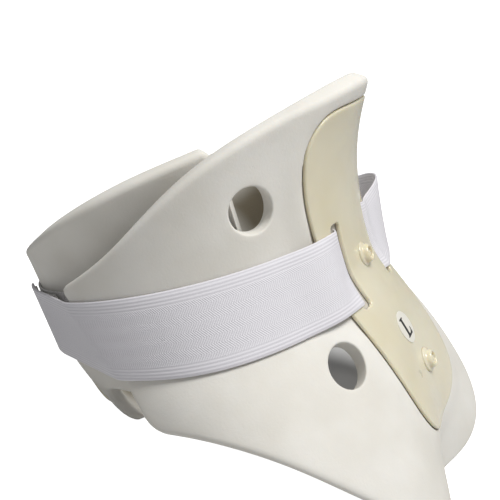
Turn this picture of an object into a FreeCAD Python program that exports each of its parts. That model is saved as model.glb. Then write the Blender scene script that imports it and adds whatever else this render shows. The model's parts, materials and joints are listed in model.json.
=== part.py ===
"""Two-piece rigid foam cervical collar.

Working frame of the model: origin on the neck axis at the waist of the collar, +Z up the neck,
-Y to the wearer's front (chin) and -X to the wearer's right. An angle goes round the neck from
the chin (0) through the wearer's right ear (90) to the nape (180). The finished parts are then
leant back and lifted, so that the collar stands on its chest flap and its nape flap.
"""
import FreeCAD, Part
import math
import os
from FreeCAD import Placement, Rotation, Vector

os.makedirs("parts", exist_ok=True)
doc = FreeCAD.newDocument("cervical_collar")

# ------------------------------------------------------------------ driving dimensions (mm, deg)
DIMENSIONS = {
    "foamThickness": 8.0,
    "ventRadius": 9.8,
    "ventAngleUpper": 46.0,
    "ventHeightUpper": 35.6,
    "ventAngleLower": 36.2,
    "ventHeightLower": -38.6,
    "wingTopAngle": 113.0,
    "wingTopHeight": 27.0,
    "wingFootAngle": 91.0,
    "wingFootHeight": -38.0,
    "standingFlat": 2.5,
    "plateThickness": 2.2,
    "plateGap": 0.1,
    "plateTop": 61.5,
    "plateTopHalfWidth": 39.5,
    "plateMidHalfWidth": 35.5,
    "plateTopRadius": 16.0,
    "plateMidHeight": -28.0,
    "plateLowHeight": -68.0,
    "plateTip": -94.0,
    "slotCentre": 23.0,
    "slotWidth": 7.6,
    "slotLength": 41.0,
    "slotMidHeight": -6.0,
    "backPlateTop": 36.0,
    "backPlateFoot": -54.0,
    "backPlateHalfWidth": 24.0,
    "backPlateRadius": 14.0,
    "strapWidth": 35.0,
    "strapThickness": 1.5,
    "strapGap": 0.5,
    "strapSlack": 14.0,
    "strapRise": 3.5,
    "strapEndAngle": 153.0,
    "strapPivotAngle": 21.5,
    "strapJoint": 0.4,
    "padThickness": 1.2,
    "padGap": 0.25,
    "padStartAngle": 124.0,
    "padEndAngle": 158.0,
    "tabStartAngle": 128.0,
    "hingeAngle": 107.0,
    "hingeGap": 0.4,
    "rivetBaseRadius": 6.0,
    "rivetBaseHeight": 1.2,
    "rivetBossRadius": 4.8,
    "rivetBossTopRadius": 3.9,
    "rivetBossHeight": 3.4,
    "rivetWellRadius": 2.6,
    "rivetPinRadius": 2.0,
    "rivetBoreRadius": 2.15,
    "rivetPinHeadHeight": 2.2,
    "washerRadius": 7.0,
    "washerThickness": 1.2,
    "washerGap": 0.6,
    "rivetGap": 0.75,
    "frontRivetHigh": -8.0,
    "frontRivetLow": -65.0,
    "backRivetHigh": 22.0,
    "backRivetLow": -34.0,
    "labelRadius": 7.5,
    "labelThickness": 0.3,
    "labelAside": 5.0,
    "labelHeight": -45.5,
    "gateRadius": 1.6,
    "gateDepth": 0.7,
    "gateAside": 16.0,
    "gateHeight": -64.5,
}
# Each shell, at a few angles: rim height and radius, waist height and radius,
# foot height and radius, and how far the flap bellies out half way down.
SHELL_VALUES = ("RimHeight", "RimRadius", "WaistHeight", "WaistRadius",
                "FootHeight", "FootRadius", "Belly")
FRONT_STATIONS = {
    0: (69.0, 101.0, -7.0, 75.0, -128.0, 79.0, 16.0),
    30: (66.0, 95.0, -7.0, 79.0, -119.0, 109.0, 14.7),
    60: (56.5, 90.0, -5.0, 82.0, -58.0, 113.0, 10.0),
    90: (37.0, 85.0, -3.0, 83.0, -37.5, 95.0, 4.0),
    115: (27.0, 83.5, -1.0, 84.5, -38.0, 89.0, 0.0),
}
BACK_STATIONS = {
    54: (63.0, 72.0, 0.0, 62.5, -30.0, 64.0, 0.0),
    80: (60.3, 74.5, 0.0, 62.5, -34.0, 65.0, 0.0),
    115: (51.6, 79.5, 0.0, 68.5, -32.0, 68.0, 0.0),
    150: (43.5, 83.5, 0.0, 82.5, -43.0, 72.0, 0.0),
    180: (42.0, 87.0, 0.0, 86.0, -72.0, 75.0, 0.0),
}
RIM_POWER = 2.2          # how late the shell flares towards its rim
FOOT_POWER = 1.9         # and towards its foot
BELLY_START = 0.11       # keeps the waist smooth where the belly begins
FRONT_END = 119.0        # both wings of the front half are cut to shape a little short of this
BACK_NEAR, BACK_FAR = 50.0, 262.0    # the back half tucks further in under the right wing
NEAR_DROP, FAR_DROP = 5.0, 5.0       # how far its rim is cut down towards those two ends
STRAP_HEIGHTS = {0: -6.2, 60: -2.4, 110: 4.2, 160: 9.5}

SHEET_ROWS = dict(DIMENSIONS)
for shell_name, stations in (("front", FRONT_STATIONS), ("back", BACK_STATIONS)):
    for angle, values in stations.items():
        for value_name, value in zip(SHELL_VALUES, values):
            SHEET_ROWS[f"{shell_name}{value_name}At{angle}"] = value
for angle, height in STRAP_HEIGHTS.items():
    SHEET_ROWS[f"strapHeightAt{angle}"] = height

sheet = doc.addObject("Spreadsheet::Sheet", "Dimensions")
for row, (alias, value) in enumerate(SHEET_ROWS.items(), start=1):
    sheet.set(f"A{row}", alias)
    sheet.set(f"B{row}", str(value))
    sheet.setAlias(f"B{row}", alias)
doc.recompute()


def dim(alias):
    """The number in the sheet's cell of that alias."""
    return float(sheet.get(alias))


# ------------------------------------------------------------------ smooth curves and surfaces
def natural_spline(keys, values):
    """A natural cubic spline through the given points, as a function."""
    count = len(keys)
    gaps = [keys[i + 1] - keys[i] for i in range(count - 1)]
    slopes = [(values[i + 1] - values[i]) / gaps[i] for i in range(count - 1)]
    diagonal, right, bends = [1.0] * count, [0.0] * count, [0.0] * count
    for i in range(1, count - 1):
        diagonal[i] = 2 * (gaps[i - 1] + gaps[i])
        right[i] = 6 * (slopes[i] - slopes[i - 1])
        if i > 1:
            factor = gaps[i - 1] / diagonal[i - 1]
            diagonal[i] -= factor * gaps[i - 1]
            right[i] -= factor * right[i - 1]
    for i in range(count - 2, 0, -1):
        above = gaps[i] * bends[i + 1] if i < count - 2 else 0.0
        bends[i] = (right[i] - above) / diagonal[i]

    def curve(key):
        i = max(0, min(count - 2, sum(1 for k in keys[1:-1] if key >= k)))
        right_part = (key - keys[i]) / gaps[i]
        left_part = 1 - right_part
        bow = (left_part ** 3 - left_part) * bends[i] + (right_part ** 3 - right_part) * bends[i + 1]
        return left_part * values[i] + right_part * values[i + 1] + bow * gaps[i] ** 2 / 6

    return curve


def mirrored_spline(keys, values, mirror):
    """A spline that is even about the mirror angle, which is its first or last key."""
    pairs = dict(zip(keys, values))
    pairs.update({2 * mirror - key: value for key, value in zip(keys, values)})
    ordered = sorted(pairs)
    return natural_spline(ordered, [pairs[key] for key in ordered])


class Shell:
    """Outer surface of one foam half: its radius from the neck axis by angle and height."""

    def __init__(self, name, stations, mirror):
        self.curves = {}
        for value_name in SHELL_VALUES:
            values = [dim(f"{name}{value_name}At{angle}") for angle in stations]
            self.curves[value_name] = mirrored_spline(list(stations), values, mirror)

    def at(self, value_name, angle):
        return self.curves[value_name](angle)

    def radius(self, angle, height):
        waist = self.at("WaistHeight", angle)
        radius = self.at("WaistRadius", angle)
        if height > waist:
            rise = (height - waist) / (self.at("RimHeight", angle) - waist)
            return radius + (self.at("RimRadius", angle) - radius) * rise ** RIM_POWER
        fall = (waist - height) / (waist - self.at("FootHeight", angle))
        belly = 4 * self.at("Belly", angle) * (math.hypot(fall, BELLY_START) - BELLY_START)
        return radius + (self.at("FootRadius", angle) - radius) * fall ** FOOT_POWER + belly * (1 - fall)

    def tilt(self, angle, height):
        """Unit outward normal in the plane through the axis, as (radial, vertical)."""
        step = 0.25
        slope = (self.radius(angle, height + step) - self.radius(angle, height - step)) / (2 * step)
        size = math.hypot(1.0, slope)
        return 1.0 / size, -slope / size

    def point(self, angle, height, offset=0.0):
        """A point at an offset outwards from the surface, along its normal."""
        radial, vertical = self.tilt(angle, height)
        return around(angle, self.radius(angle, height) + offset * radial, height + offset * vertical)


def around(angle, radius, height):
    turn = math.radians(angle)
    return Vector(-math.sin(turn) * radius, -math.cos(turn) * radius, height)


front = Shell("front", FRONT_STATIONS, 0.0)
back = Shell("back", BACK_STATIONS, 180.0)
strap_height = mirrored_spline(list(STRAP_HEIGHTS),
                               [dim(f"strapHeightAt{angle}") for angle in STRAP_HEIGHTS], 0.0)


def smooth_step(low, high, value):
    share = max(0.0, min(1.0, (value - low) / (high - low)))
    return share * share * (3 - 2 * share)


def spread(first, last, count):
    return [first + (last - first) * i / (count - 1) for i in range(count)]


# ------------------------------------------------------------------ document helpers
nodes = []


def feature(name, shape):
    """A document object with a shape of its own."""
    made = doc.addObject("Part::Feature", name)
    made.Shape = shape
    return made


def primitive(kind, name, placement=None, **bindings):
    """A Part primitive whose sizes are bound to the sheet."""
    made = doc.addObject(kind, name)
    for size_name, expression in bindings.items():
        made.setExpression(size_name, expression)
    if placement is not None:
        made.Placement = placement
    return made


def combine(kind, name, **links):
    made = doc.addObject(kind, name)
    for link_name, link in links.items():
        setattr(made, link_name, link)
    return made


def node(label, made):
    """Marks a finished sub-part, which gets a file of its own."""
    made.Label = label
    nodes.append(made)
    return made


def on_surface(shell, angle, height, offset):
    """A placement on a shell, with its Z axis along the outward normal."""
    radial, vertical = shell.tilt(angle, height)
    normal = around(angle, radial, vertical)
    return Placement(shell.point(angle, height, offset), Rotation(Vector(0, 0, 1), normal))


# ------------------------------------------------------------------ foam shells
RIM_STEPS = (0.0, 0.12, 0.45, 1.0)      # places across a rounded rim, in half thicknesses
FLANK_STEPS = 8


def rim_drop(shell, angle):
    """How far the back half's rim is cut down, towards each of its ends."""
    if shell is front:
        return 0.0
    return NEAR_DROP * (1 - smooth_step(50.0, 58.0, angle)) + FAR_DROP * smooth_step(195.0, 235.0, angle)


def foam_section(shell, angle):
    """Closed outline of the foam at one angle: both faces and the rounded rim and foot."""
    half = dim("foamThickness") / 2
    rim, foot = shell.at("RimHeight", angle) - rim_drop(shell, angle), shell.at("FootHeight", angle)
    margin = half / (rim - foot)
    shares = [margin * step for step in RIM_STEPS]
    shares += spread(margin * 2.2, 1 - margin * 2.2, FLANK_STEPS)
    shares += [1 - margin * step for step in reversed(RIM_STEPS)]

    def edge(share, side):
        height = foot + (rim - foot) * share
        nearest = min(share, 1 - share) / margin
        swell = math.sqrt(max(0.0, 1 - (1 - min(nearest, 1.0)) ** 2))
        return shell.point(angle, height, -half + side * half * swell)

    return [edge(share, 1) for share in shares], [edge(share, -1) for share in reversed(shares)]


def loft_flanks(sections):
    """Smooth solid through closed outlines, each given as an outer and an inner flank."""
    middle = sections[len(sections) // 2]
    parameters = []
    for points in middle:
        steps = [(b - a).Length ** 0.5 for a, b in zip(points, points[1:])]
        parameters.append([sum(steps[:i]) for i in range(len(points))])

    def flank(points, keys, start, end):
        pace_in = (points[1] - points[0]).Length / (keys[1] - keys[0])
        pace_out = (points[-1] - points[-2]).Length / (keys[-1] - keys[-2])
        curve = Part.BSplineCurve()
        curve.interpolate(Points=points, Parameters=keys,
                          InitialTangent=start * (pace_in / start.Length),
                          FinalTangent=end * (pace_out / end.Length))
        return curve.toShape()

    wires = []
    for outer, inner in sections:
        under = outer[1] - inner[-2]
        over = inner[1] - outer[-2]
        wires.append(Part.Wire([flank(outer, parameters[0], under, over),
                                flank(inner, parameters[1], over, under)]))
    return Part.makeLoft(wires, True, False)


def foam_blank(shell, first, last, count):
    return loft_flanks([foam_section(shell, angle) for angle in spread(first, last, count)])


# ------------------------------------------------------------------ curved sheets
def sheet_solid(angles, shares, inner_point, outer_point):
    """Solid between two faces, each given as a function of angle and share across."""
    faces = []
    for face_point in (inner_point, outer_point):
        face = Part.BSplineSurface()
        face.interpolate([[face_point(angle, share) for share in shares] for angle in angles])
        faces.append(face)
    walls = []
    for inner, outer in zip(border(faces[0]), border(faces[1])):
        walls.append(Part.makeRuledSurface(inner, outer))
    shell = Part.makeShell([faces[0].toShape(), faces[1].toShape()] + walls)
    shell.sewShape()
    solid = Part.Solid(shell)
    solid.fix(0.001, 0.001, 0.001)
    return solid if solid.Volume > 0 else solid.reversed()


def border(face):
    """The four edge curves of an interpolated face."""
    first_u, last_u, first_v, last_v = face.bounds()
    curves = [face.uIso(first_u), face.uIso(last_u), face.vIso(first_v), face.vIso(last_v)]
    return [curve.toShape() for curve in curves]


def skin_solid(shell, angles, foot, rim, low, high, count=9):
    """A sheet that follows a shell between two heights and two offsets."""
    def face(offset):
        return lambda angle, share: shell.point(angle, foot + (rim - foot) * share, offset)

    return sheet_solid(angles, spread(0.0, 1.0, count), face(low), face(high))


# ------------------------------------------------------------------ strap line
WING_CLEAR, BACK_CONTACT = 108.0, 134.0     # where the strap leaves the wing and reaches the back
FLAT_FROM, FLAT_FULL = 19.5, 27.0           # where the strap stops following the foam's waist
SLOT_ENTRY, SLOT_EXIT = 14.0, 19.4          # the strap climbs through its slot between these
SLACK_FROM, SLACK_TO = 21.0, 62.0           # where the left strap stands off, a little loose
STRAP_STEP = 4.0                            # spacing of the strap's stations away from the slots
PAD_STACK = 2 * dim("padThickness") + 2 * dim("padGap")


def strap_lift(angle):
    """Height of the strap's inner face over the foam, as it comes out of its slot."""
    behind = -dim("strapThickness") - dim("plateGap")
    over_plate = dim("plateGap") + dim("plateThickness") + 2 * dim("plateGap")
    rise = smooth_step(SLOT_ENTRY, SLOT_EXIT, angle)
    settle = smooth_step(29.0, 44.0, angle)
    lift = behind + (over_plate - behind) * rise
    return lift + (dim("strapGap") - over_plate) * settle


def strap_bow(angle):
    """Share of its full slack that the looser left strap has at an angle."""
    along = (-angle - SLACK_FROM) / (SLACK_TO - SLACK_FROM)
    return math.sin(math.pi * along) ** 2 if 0 < along < 1 else 0.0


def strap_slack(angle, share):
    """How far the left strap bows out beside its slot, most at its top edge."""
    return dim("strapSlack") * strap_bow(angle) * (0.25 + 0.75 * share)


def strap_radius(angle, height):
    """Radius of the strap's inner face."""
    slack_share = (height - strap_height(abs(angle))) / dim("strapWidth") + 0.5
    slack = strap_slack(angle, slack_share)
    angle = abs(angle)
    middle = strap_height(angle)
    half = dim("strapWidth") / 2
    share = (height - middle) / (2 * half) + 0.5
    front_angle = min(angle, FRONT_END)
    chord = (front.radius(front_angle, middle - half) * (1 - share)
             + front.radius(front_angle, middle + half) * share)
    flat = smooth_step(FLAT_FROM, FLAT_FULL, angle)
    over_front = (chord * flat + front.radius(front_angle, height) * (1 - flat)
                  + strap_lift(angle) + slack)
    if angle <= WING_CLEAR:
        return over_front
    back_chord = (back.radius(angle, middle - half) * (1 - share)
                  + back.radius(angle, middle + half) * share)
    over_back = back_chord + PAD_STACK + dim("padGap") + dim("strapGap")
    drop = smooth_step(WING_CLEAR, BACK_CONTACT, angle)
    return over_front * (1 - drop) + over_back * drop


def strap_stations(first, last):
    """Angles along a stretch of strap, closer together where it climbs through a slot."""
    low, high = sorted((first, last))
    inner = [k * STRAP_STEP for k in range(-45, 46)]
    for side in (-1, 1):
        inner += [side * angle for angle in spread(SLOT_ENTRY, SLOT_EXIT, 5)]
    kept = sorted(angle for angle in inner if low + 0.7 < angle < high - 0.7)
    spaced = [angle for i, angle in enumerate(kept) if i == 0 or angle - kept[i - 1] > 0.6]
    return [low] + spaced + [high]


def strap_point(angle, rise, offset):
    """A point at a rise above the strap's middle line and an offset from its inner face."""
    height = strap_height(abs(angle)) + rise
    lifted = height + dim("strapRise") * strap_bow(angle)
    return around(angle, strap_radius(angle, height) + offset, lifted)


def strap_solid(first, last, width=None, low=0.0, high=None):
    """A stretch of strap between two angles; low and high are offsets from its inner face."""
    half = (dim("strapWidth") if width is None else width) / 2
    top = dim("strapThickness") if high is None else high

    def face(offset):
        return lambda angle, share: strap_point(angle, half * (2 * share - 1), offset)

    return sheet_solid(strap_stations(first, last), spread(0.0, 1.0, 5), face(low), face(top))


# ------------------------------------------------------------------ standing pose
def standing_placement():
    """Leans the collar back on to its chest and nape flaps, with the floor at height zero."""
    chest = around(0, front.at("FootRadius", 0) - dim("foamThickness") / 2, front.at("FootHeight", 0))
    nape = around(180, back.at("FootRadius", 180) - dim("foamThickness") / 2, back.at("FootHeight", 180))
    lean = math.atan2(nape.z - chest.z, nape.y - chest.y)
    turned = Rotation(Vector(1, 0, 0), -math.degrees(lean))
    floor = turned.multVec(chest).z + dim("standingFlat")
    return Placement(Vector(0, 0, -floor), turned)


standing = standing_placement()
floor_tool = primitive("Part::Box", "FloorCut", Length="400 mm", Width="400 mm", Height="60 mm")
floor_tool.Placement = standing.inverse() * Placement(Vector(-200, -200, -60), Rotation())

# ------------------------------------------------------------------ front foam shell
front_blank = feature("FrontFoamBlank", foam_blank(front, -FRONT_END, FRONT_END, 25))


def wing_cut():
    """A block behind the slanted rear edge of both front wings."""
    top = around(dim("wingTopAngle"), 1.0, 0).y * front.radius(dim("wingTopAngle"), dim("wingTopHeight"))
    foot = around(dim("wingFootAngle"), 1.0, 0).y * front.radius(dim("wingFootAngle"),
                                                               dim("wingFootHeight"))
    slant = math.degrees(math.atan2(top - foot, dim("wingTopHeight") - dim("wingFootHeight")))
    corner = Vector(-200, foot, dim("wingFootHeight"))
    turned = Rotation(Vector(1, 0, 0), -slant)
    made = primitive("Part::Box", "WingCut", Length="400 mm", Width="120 mm", Height="300 mm")
    made.Placement = Placement(corner + turned.multVec(Vector(0, 0, -150)), turned)
    return made


def vent(name, side, angle, height):
    return primitive("Part::Cylinder", name, on_surface(front, side * angle, height, -30.0),
                     Radius="Dimensions.ventRadius", Height="60 mm")


def rivet_bore(name, shell, angle, height):
    return primitive("Part::Cylinder", name, on_surface(shell, angle, height, -20.0),
                     Radius="Dimensions.rivetBoreRadius", Height="40 mm")


front_tools = [wing_cut(), floor_tool]
for side, side_name in ((1, "Right"), (-1, "Left")):
    front_tools.append(vent(f"UpperVent{side_name}", side, dim("ventAngleUpper"), dim("ventHeightUpper")))
    front_tools.append(vent(f"LowerVent{side_name}", side, dim("ventAngleLower"), dim("ventHeightLower")))
front_sites = [(front, 0.0, dim("frontRivetHigh")), (front, 0.0, dim("frontRivetLow"))]
back_sites = [(back, 180.0, dim("backRivetHigh")), (back, 180.0, dim("backRivetLow"))]
front_bores = [rivet_bore(f"FrontBore{i}", *site) for i, site in enumerate(front_sites)]
back_bores = [rivet_bore(f"BackBore{i}", *site) for i, site in enumerate(back_sites)]

# The strap's middle is pressed into the foam under the plate's centre bar.
bar_reach = 18.5
strap_bed = feature("StrapBed", skin_solid(
    front, spread(-bar_reach, bar_reach, 9), dim("slotMidHeight") - dim("strapWidth") / 2 - 1.0,
    dim("slotMidHeight") + dim("strapWidth") / 2 + 1.0,
    -dim("strapThickness") - 4 * dim("plateGap"), 3.0))

# ------------------------------------------------------------------ stiffening plates
def arc_through(first, middle, last):
    return Part.Arc(first, middle, last).toShape()


def front_plate_outline():
    """Symmetric outline seen from the front: broad head, waisted middle and rounded tip."""
    top, wide, round_off = dim("plateTop"), dim("plateTopHalfWidth"), dim("plateTopRadius")
    mid, mid_z, low_z, tip = (dim("plateMidHalfWidth"), dim("plateMidHeight"),
                              dim("plateLowHeight"), dim("plateTip"))
    corner = round_off * (1 - math.sqrt(0.5))
    halves = []
    for side in (1, -1):
        def place(aside, height):
            return Vector(side * aside, -200, height)
        shoulder = arc_through(place(wide - round_off, top), place(wide - corner, top - corner),
                               place(wide, top - round_off))
        flank = Part.BSplineCurve()
        flank.interpolate([place(wide, top - round_off), place(wide - 1.5, 14),
                           place(mid, mid_z), place(mid - 0.5, low_z)])
        end = Part.BSplineCurve()
        end.interpolate(Points=[place(mid - 0.5, low_z), place(mid * 0.82, low_z * 0.4 + tip * 0.6),
                                place(mid * 0.42, tip + 3.0), place(0, tip)],
                        FinalTangent=Vector(-side, 0, 0), InitialTangent=Vector(0, 0, -1))
        halves.append([shoulder, flank.toShape(), end.toShape()])
    top_edge = Part.makeLine(Vector(-(wide - round_off), -200, top), Vector(wide - round_off, -200, top))
    right, left = halves
    return Part.Wire(Part.__sortEdges__(right + left + [top_edge]))


def back_plate_outline():
    top, foot, wide, round_off = (dim("backPlateTop"), dim("backPlateFoot"),
                                  dim("backPlateHalfWidth"), dim("backPlateRadius"))
    corner = round_off * (1 - math.sqrt(0.5))
    edges = []
    for side in (1, -1):
        def place(aside, height):
            return Vector(side * aside, 20, height)
        edges.append(arc_through(place(wide - round_off, top), place(wide - corner, top - corner),
                                 place(wide, top - round_off)))
        edges.append(Part.makeLine(place(wide, top - round_off), place(wide, foot + round_off)))
        edges.append(arc_through(place(wide, foot + round_off), place(wide - corner, foot + corner),
                                 place(wide - round_off, foot)))
    for height in (top, foot):
        edges.append(Part.makeLine(Vector(-(wide - round_off), 20, height),
                                   Vector(wide - round_off, 20, height)))
    return Part.Wire(Part.__sortEdges__(edges))


def punched(name, outline, reach):
    """The outline as a block along Y, which the plate's sheet is cut to."""
    profile = feature(f"{name}Outline", Part.Face(outline))
    made = combine("Part::Extrusion", f"{name}Block", Base=profile)
    made.DirMode = "Custom"
    made.Dir = Vector(0, 1, 0)
    made.LengthFwd = reach
    made.Solid = True
    return made


def plate_bed(name, skin, block):
    """The foam that a plate presses flat."""
    return combine("Part::Common", name, Base=feature(f"{name}Skin", skin), Tool=block)


def angle_aside(aside, height):
    """Angle of a point on the front half that lies so far towards the wearer's right."""
    return math.degrees(math.asin(aside / front.radius(0.0, height)))


plate_low, plate_high = dim("plateGap"), dim("plateGap") + dim("plateThickness")
PRINT_DEPTH, PRINT_REACH = 0.05, 3.0    # how deep a plate's print is, and its reach above the foam
front_plate_sheet = feature("FrontPlateSheet", skin_solid(
    front, spread(-34.0, 34.0, 13), dim("plateTip") - 3, dim("plateTop") + 2, plate_low, plate_high, 15))
front_plate_block = punched("FrontPlate", front_plate_outline(), 180)
front_plate_blank = combine("Part::Common", "FrontPlateBlank", Base=front_plate_sheet,
                            Tool=front_plate_block)
slots = []
for side, side_name in ((1, "Left"), (-1, "Right")):
    corner = Vector(side * dim("slotCentre") - dim("slotWidth") / 2, -120,
                    dim("slotMidHeight") - dim("slotLength") / 2)
    slots.append(primitive("Part::Box", f"Slot{side_name}", Placement(corner, Rotation()),
                           Length="Dimensions.slotWidth", Width="80 mm",
                           Height="Dimensions.slotLength"))
gate = primitive("Part::Cylinder", "GateMark",
                 on_surface(front, angle_aside(dim("gateAside"), dim("gateHeight")), dim("gateHeight"),
                            plate_high - dim("gateDepth")),
                 Radius="Dimensions.gateRadius", Height="6 mm")
front_plate_cutters = combine("Part::MultiFuse", "FrontPlateCutters", Shapes=slots + front_bores + [gate])
front_bed = plate_bed("FrontBed", skin_solid(
    front, spread(-34.0, 34.0, 13), dim("plateTip") - 3, dim("plateTop") + 2, -PRINT_DEPTH, PRINT_REACH,
    15), front_plate_block)
front_cutters = combine("Part::MultiFuse", "FrontCutters",
                        Shapes=front_tools + front_bores + [strap_bed, front_bed])
node("front_foam_shell", combine("Part::Cut", "FrontFoam", Base=front_blank, Tool=front_cutters))
node("front_plate", combine("Part::Cut", "FrontPlate", Base=front_plate_blank, Tool=front_plate_cutters))

back_plate_sheet = feature("BackPlateSheet", skin_solid(
    back, spread(162.0, 198.0, 9), dim("backPlateFoot") - 2, dim("backPlateTop") + 2,
    plate_low, plate_high))
back_plate_block = punched("BackPlate", back_plate_outline(), 120)
back_plate_blank = combine("Part::Common", "BackPlateBlank", Base=back_plate_sheet, Tool=back_plate_block)
back_plate_cutters = combine("Part::MultiFuse", "BackPlateCutters", Shapes=back_bores)
back_blank = feature("BackFoamBlank", foam_blank(back, BACK_NEAR, BACK_FAR, 23))
back_bed = plate_bed("BackBed", skin_solid(
    back, spread(162.0, 198.0, 9), dim("backPlateFoot") - 2, dim("backPlateTop") + 2, -PRINT_DEPTH,
    PRINT_REACH), back_plate_block)
back_cutters = combine("Part::MultiFuse", "BackCutters", Shapes=back_bores + [floor_tool, back_bed])
node("back_foam_shell", combine("Part::Cut", "BackFoam", Base=back_blank, Tool=back_cutters))
node("back_plate", combine("Part::Cut", "BackPlate", Base=back_plate_blank, Tool=back_plate_cutters))

# ------------------------------------------------------------------ strap and its fastenings
pivot, end_angle = dim("strapPivotAngle"), dim("strapEndAngle")
joint_gap = math.degrees(dim("strapJoint") / front.radius(pivot, 0.0))
hinge_gap = math.degrees(dim("hingeGap") / front.radius(dim("hingeAngle"), 0.0))
centre_strip = feature("StrapCentreStrip", strap_solid(-pivot, pivot))
centre_bore = combine("Part::Cut", "StrapCentre", Base=centre_strip, Tool=front_bores[0])
node("strap_centre", centre_bore)
node("right_strap", feature("RightStrap", strap_solid(pivot + 2 * joint_gap, end_angle)))
node("left_strap_front", feature("LeftStrapFront", strap_solid(
    -pivot - 2 * joint_gap, -dim("hingeAngle") + hinge_gap)))
node("left_strap_rear", feature("LeftStrapRear", strap_solid(
    -dim("hingeAngle") - hinge_gap, -end_angle)))
tab_top, tab_low = -dim("padGap"), -dim("padGap") - dim("padThickness")
for side, side_name in ((1, "right"), (-1, "left")):
    node(f"{side_name}_hook_tab", feature(f"HookTab{side_name.title()}", strap_solid(
        side * dim("tabStartAngle"), side * (end_angle - 1.0),
        width=dim("strapWidth") - 3.0, low=tab_low, high=tab_top)))


def loop_pad(side):
    """Pad glued round the back shell under one strap end."""
    half = dim("strapWidth") / 2 - 1.0
    angles = [side * angle for angle in spread(dim("padStartAngle"), dim("padEndAngle"), 7)]

    def face(offset):
        def point(angle, share):
            height = strap_height(abs(angle)) + half * (2 * share - 1)
            return around(angle, back.radius(abs(angle), height) + offset, height)
        return point

    low = dim("padGap")
    return sheet_solid(angles, spread(0.0, 1.0, 5), face(low), face(low + dim("padThickness")))


for side, side_name in ((1, "right"), (-1, "left")):
    node(f"{side_name}_loop_pad", feature(f"LoopPad{side_name.title()}", loop_pad(side)))

# ------------------------------------------------------------------ size label
label_angle = angle_aside(dim("labelAside"), dim("labelHeight"))
label_sheet = feature("LabelSheet", skin_solid(
    front, spread(label_angle - 8, label_angle + 8, 5), dim("labelHeight") - 10, dim("labelHeight") + 10,
    plate_high + 0.02, plate_high + 0.02 + dim("labelThickness"), 5))
label_punch = primitive("Part::Cylinder", "LabelPunch",
                        on_surface(front, label_angle, dim("labelHeight"), -5.0),
                        Radius="Dimensions.labelRadius", Height="20 mm")
node("size_label", combine("Part::Common", "SizeLabel", Base=label_sheet, Tool=label_punch))


# ------------------------------------------------------------------ rivets
def rivet_boss(name, site, foot):
    """Outer half of a snap rivet: a round base, a tapered boss and a well in its top."""
    seat = on_surface(*site, foot)
    base = primitive("Part::Cylinder", f"{name}Base", seat, Radius="Dimensions.rivetBaseRadius",
                     Height="Dimensions.rivetBaseHeight")
    boss = primitive("Part::Cone", f"{name}Boss", seat, Radius1="Dimensions.rivetBossRadius",
                     Radius2="Dimensions.rivetBossTopRadius",
                     Height="Dimensions.rivetBaseHeight + Dimensions.rivetBossHeight")
    well = primitive("Part::Cylinder", f"{name}Well", on_surface(*site, foot - 1.0),
                     Radius="Dimensions.rivetWellRadius",
                     Height="Dimensions.rivetBossHeight + 5")
    body = combine("Part::Fuse", f"{name}Body", Base=base, Tool=boss)
    return combine("Part::Cut", name, Base=body, Tool=well)


def rivet_pin(name, site, foot):
    """Inner half: a shank with a rounded end that shows in the boss's well."""
    length = foot + dim("foamThickness") + dim("washerGap") + dim("rivetPinHeadHeight")
    shank = primitive("Part::Cylinder", f"{name}Shank",
                      on_surface(*site, -dim("foamThickness") - dim("washerGap")),
                      Radius="Dimensions.rivetPinRadius", Height=f"{length:.2f} mm")
    tip = primitive("Part::Sphere", f"{name}Tip",
                    on_surface(*site, foot + dim("rivetPinHeadHeight")),
                    Radius="Dimensions.rivetPinRadius")
    return combine("Part::Fuse", name, Base=shank, Tool=tip)


def rivet_washer(name, site):
    return primitive("Part::Cylinder", name,
                     on_surface(*site, -dim("foamThickness") - dim("washerGap") - dim("washerThickness")),
                     Radius="Dimensions.washerRadius", Height="Dimensions.washerThickness")


for half_name, sites in (("front", front_sites), ("back", back_sites)):
    title = half_name.title()
    foot = plate_high + dim("rivetGap")
    bosses = [rivet_boss(f"{title}RivetBoss{i}", site, foot) for i, site in enumerate(sites)]
    pins = [rivet_pin(f"{title}RivetPin{i}", site, foot) for i, site in enumerate(sites)]
    washers = [rivet_washer(f"{title}RivetWasher{i}", site) for i, site in enumerate(sites)]
    for kind, made in (("bosses", bosses), ("pins", pins), ("washers", washers)):
        node(f"{half_name}_rivet_{kind}", combine("Part::Compound", f"{title}Rivet{kind.title()}",
                                                  Links=made))

doc.recompute()

# ------------------------------------------------------------------ stand, check and write
depths = []
for made in nodes:
    depths += [standing.multVec(point).y for point in made.Shape.tessellate(0.2)[0]]
finished = Placement(Vector(0, -(min(depths) + max(depths)) / 2, 0), Rotation()) * standing
for made in nodes:
    made.Placement = finished
doc.recompute()

for made in doc.Objects:
    if {"Invalid", "Error"} & set(made.State):
        raise RuntimeError(f"{made.Name} failed: {made.State}")
for made in nodes:
    if made.Shape.isNull() or not made.Shape.isValid() or not made.Shape.Solids:
        raise RuntimeError(f"{made.Label} has no valid solid")
    made.Shape.exportStep(f"parts/{made.Label}.step")
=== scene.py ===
import json
import math

import bpy
import numpy as np
from mathutils import Matrix, Vector
from mathutils.geometry import delaunay_2d_cdt
from mathutils.kdtree import KDTree


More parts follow.
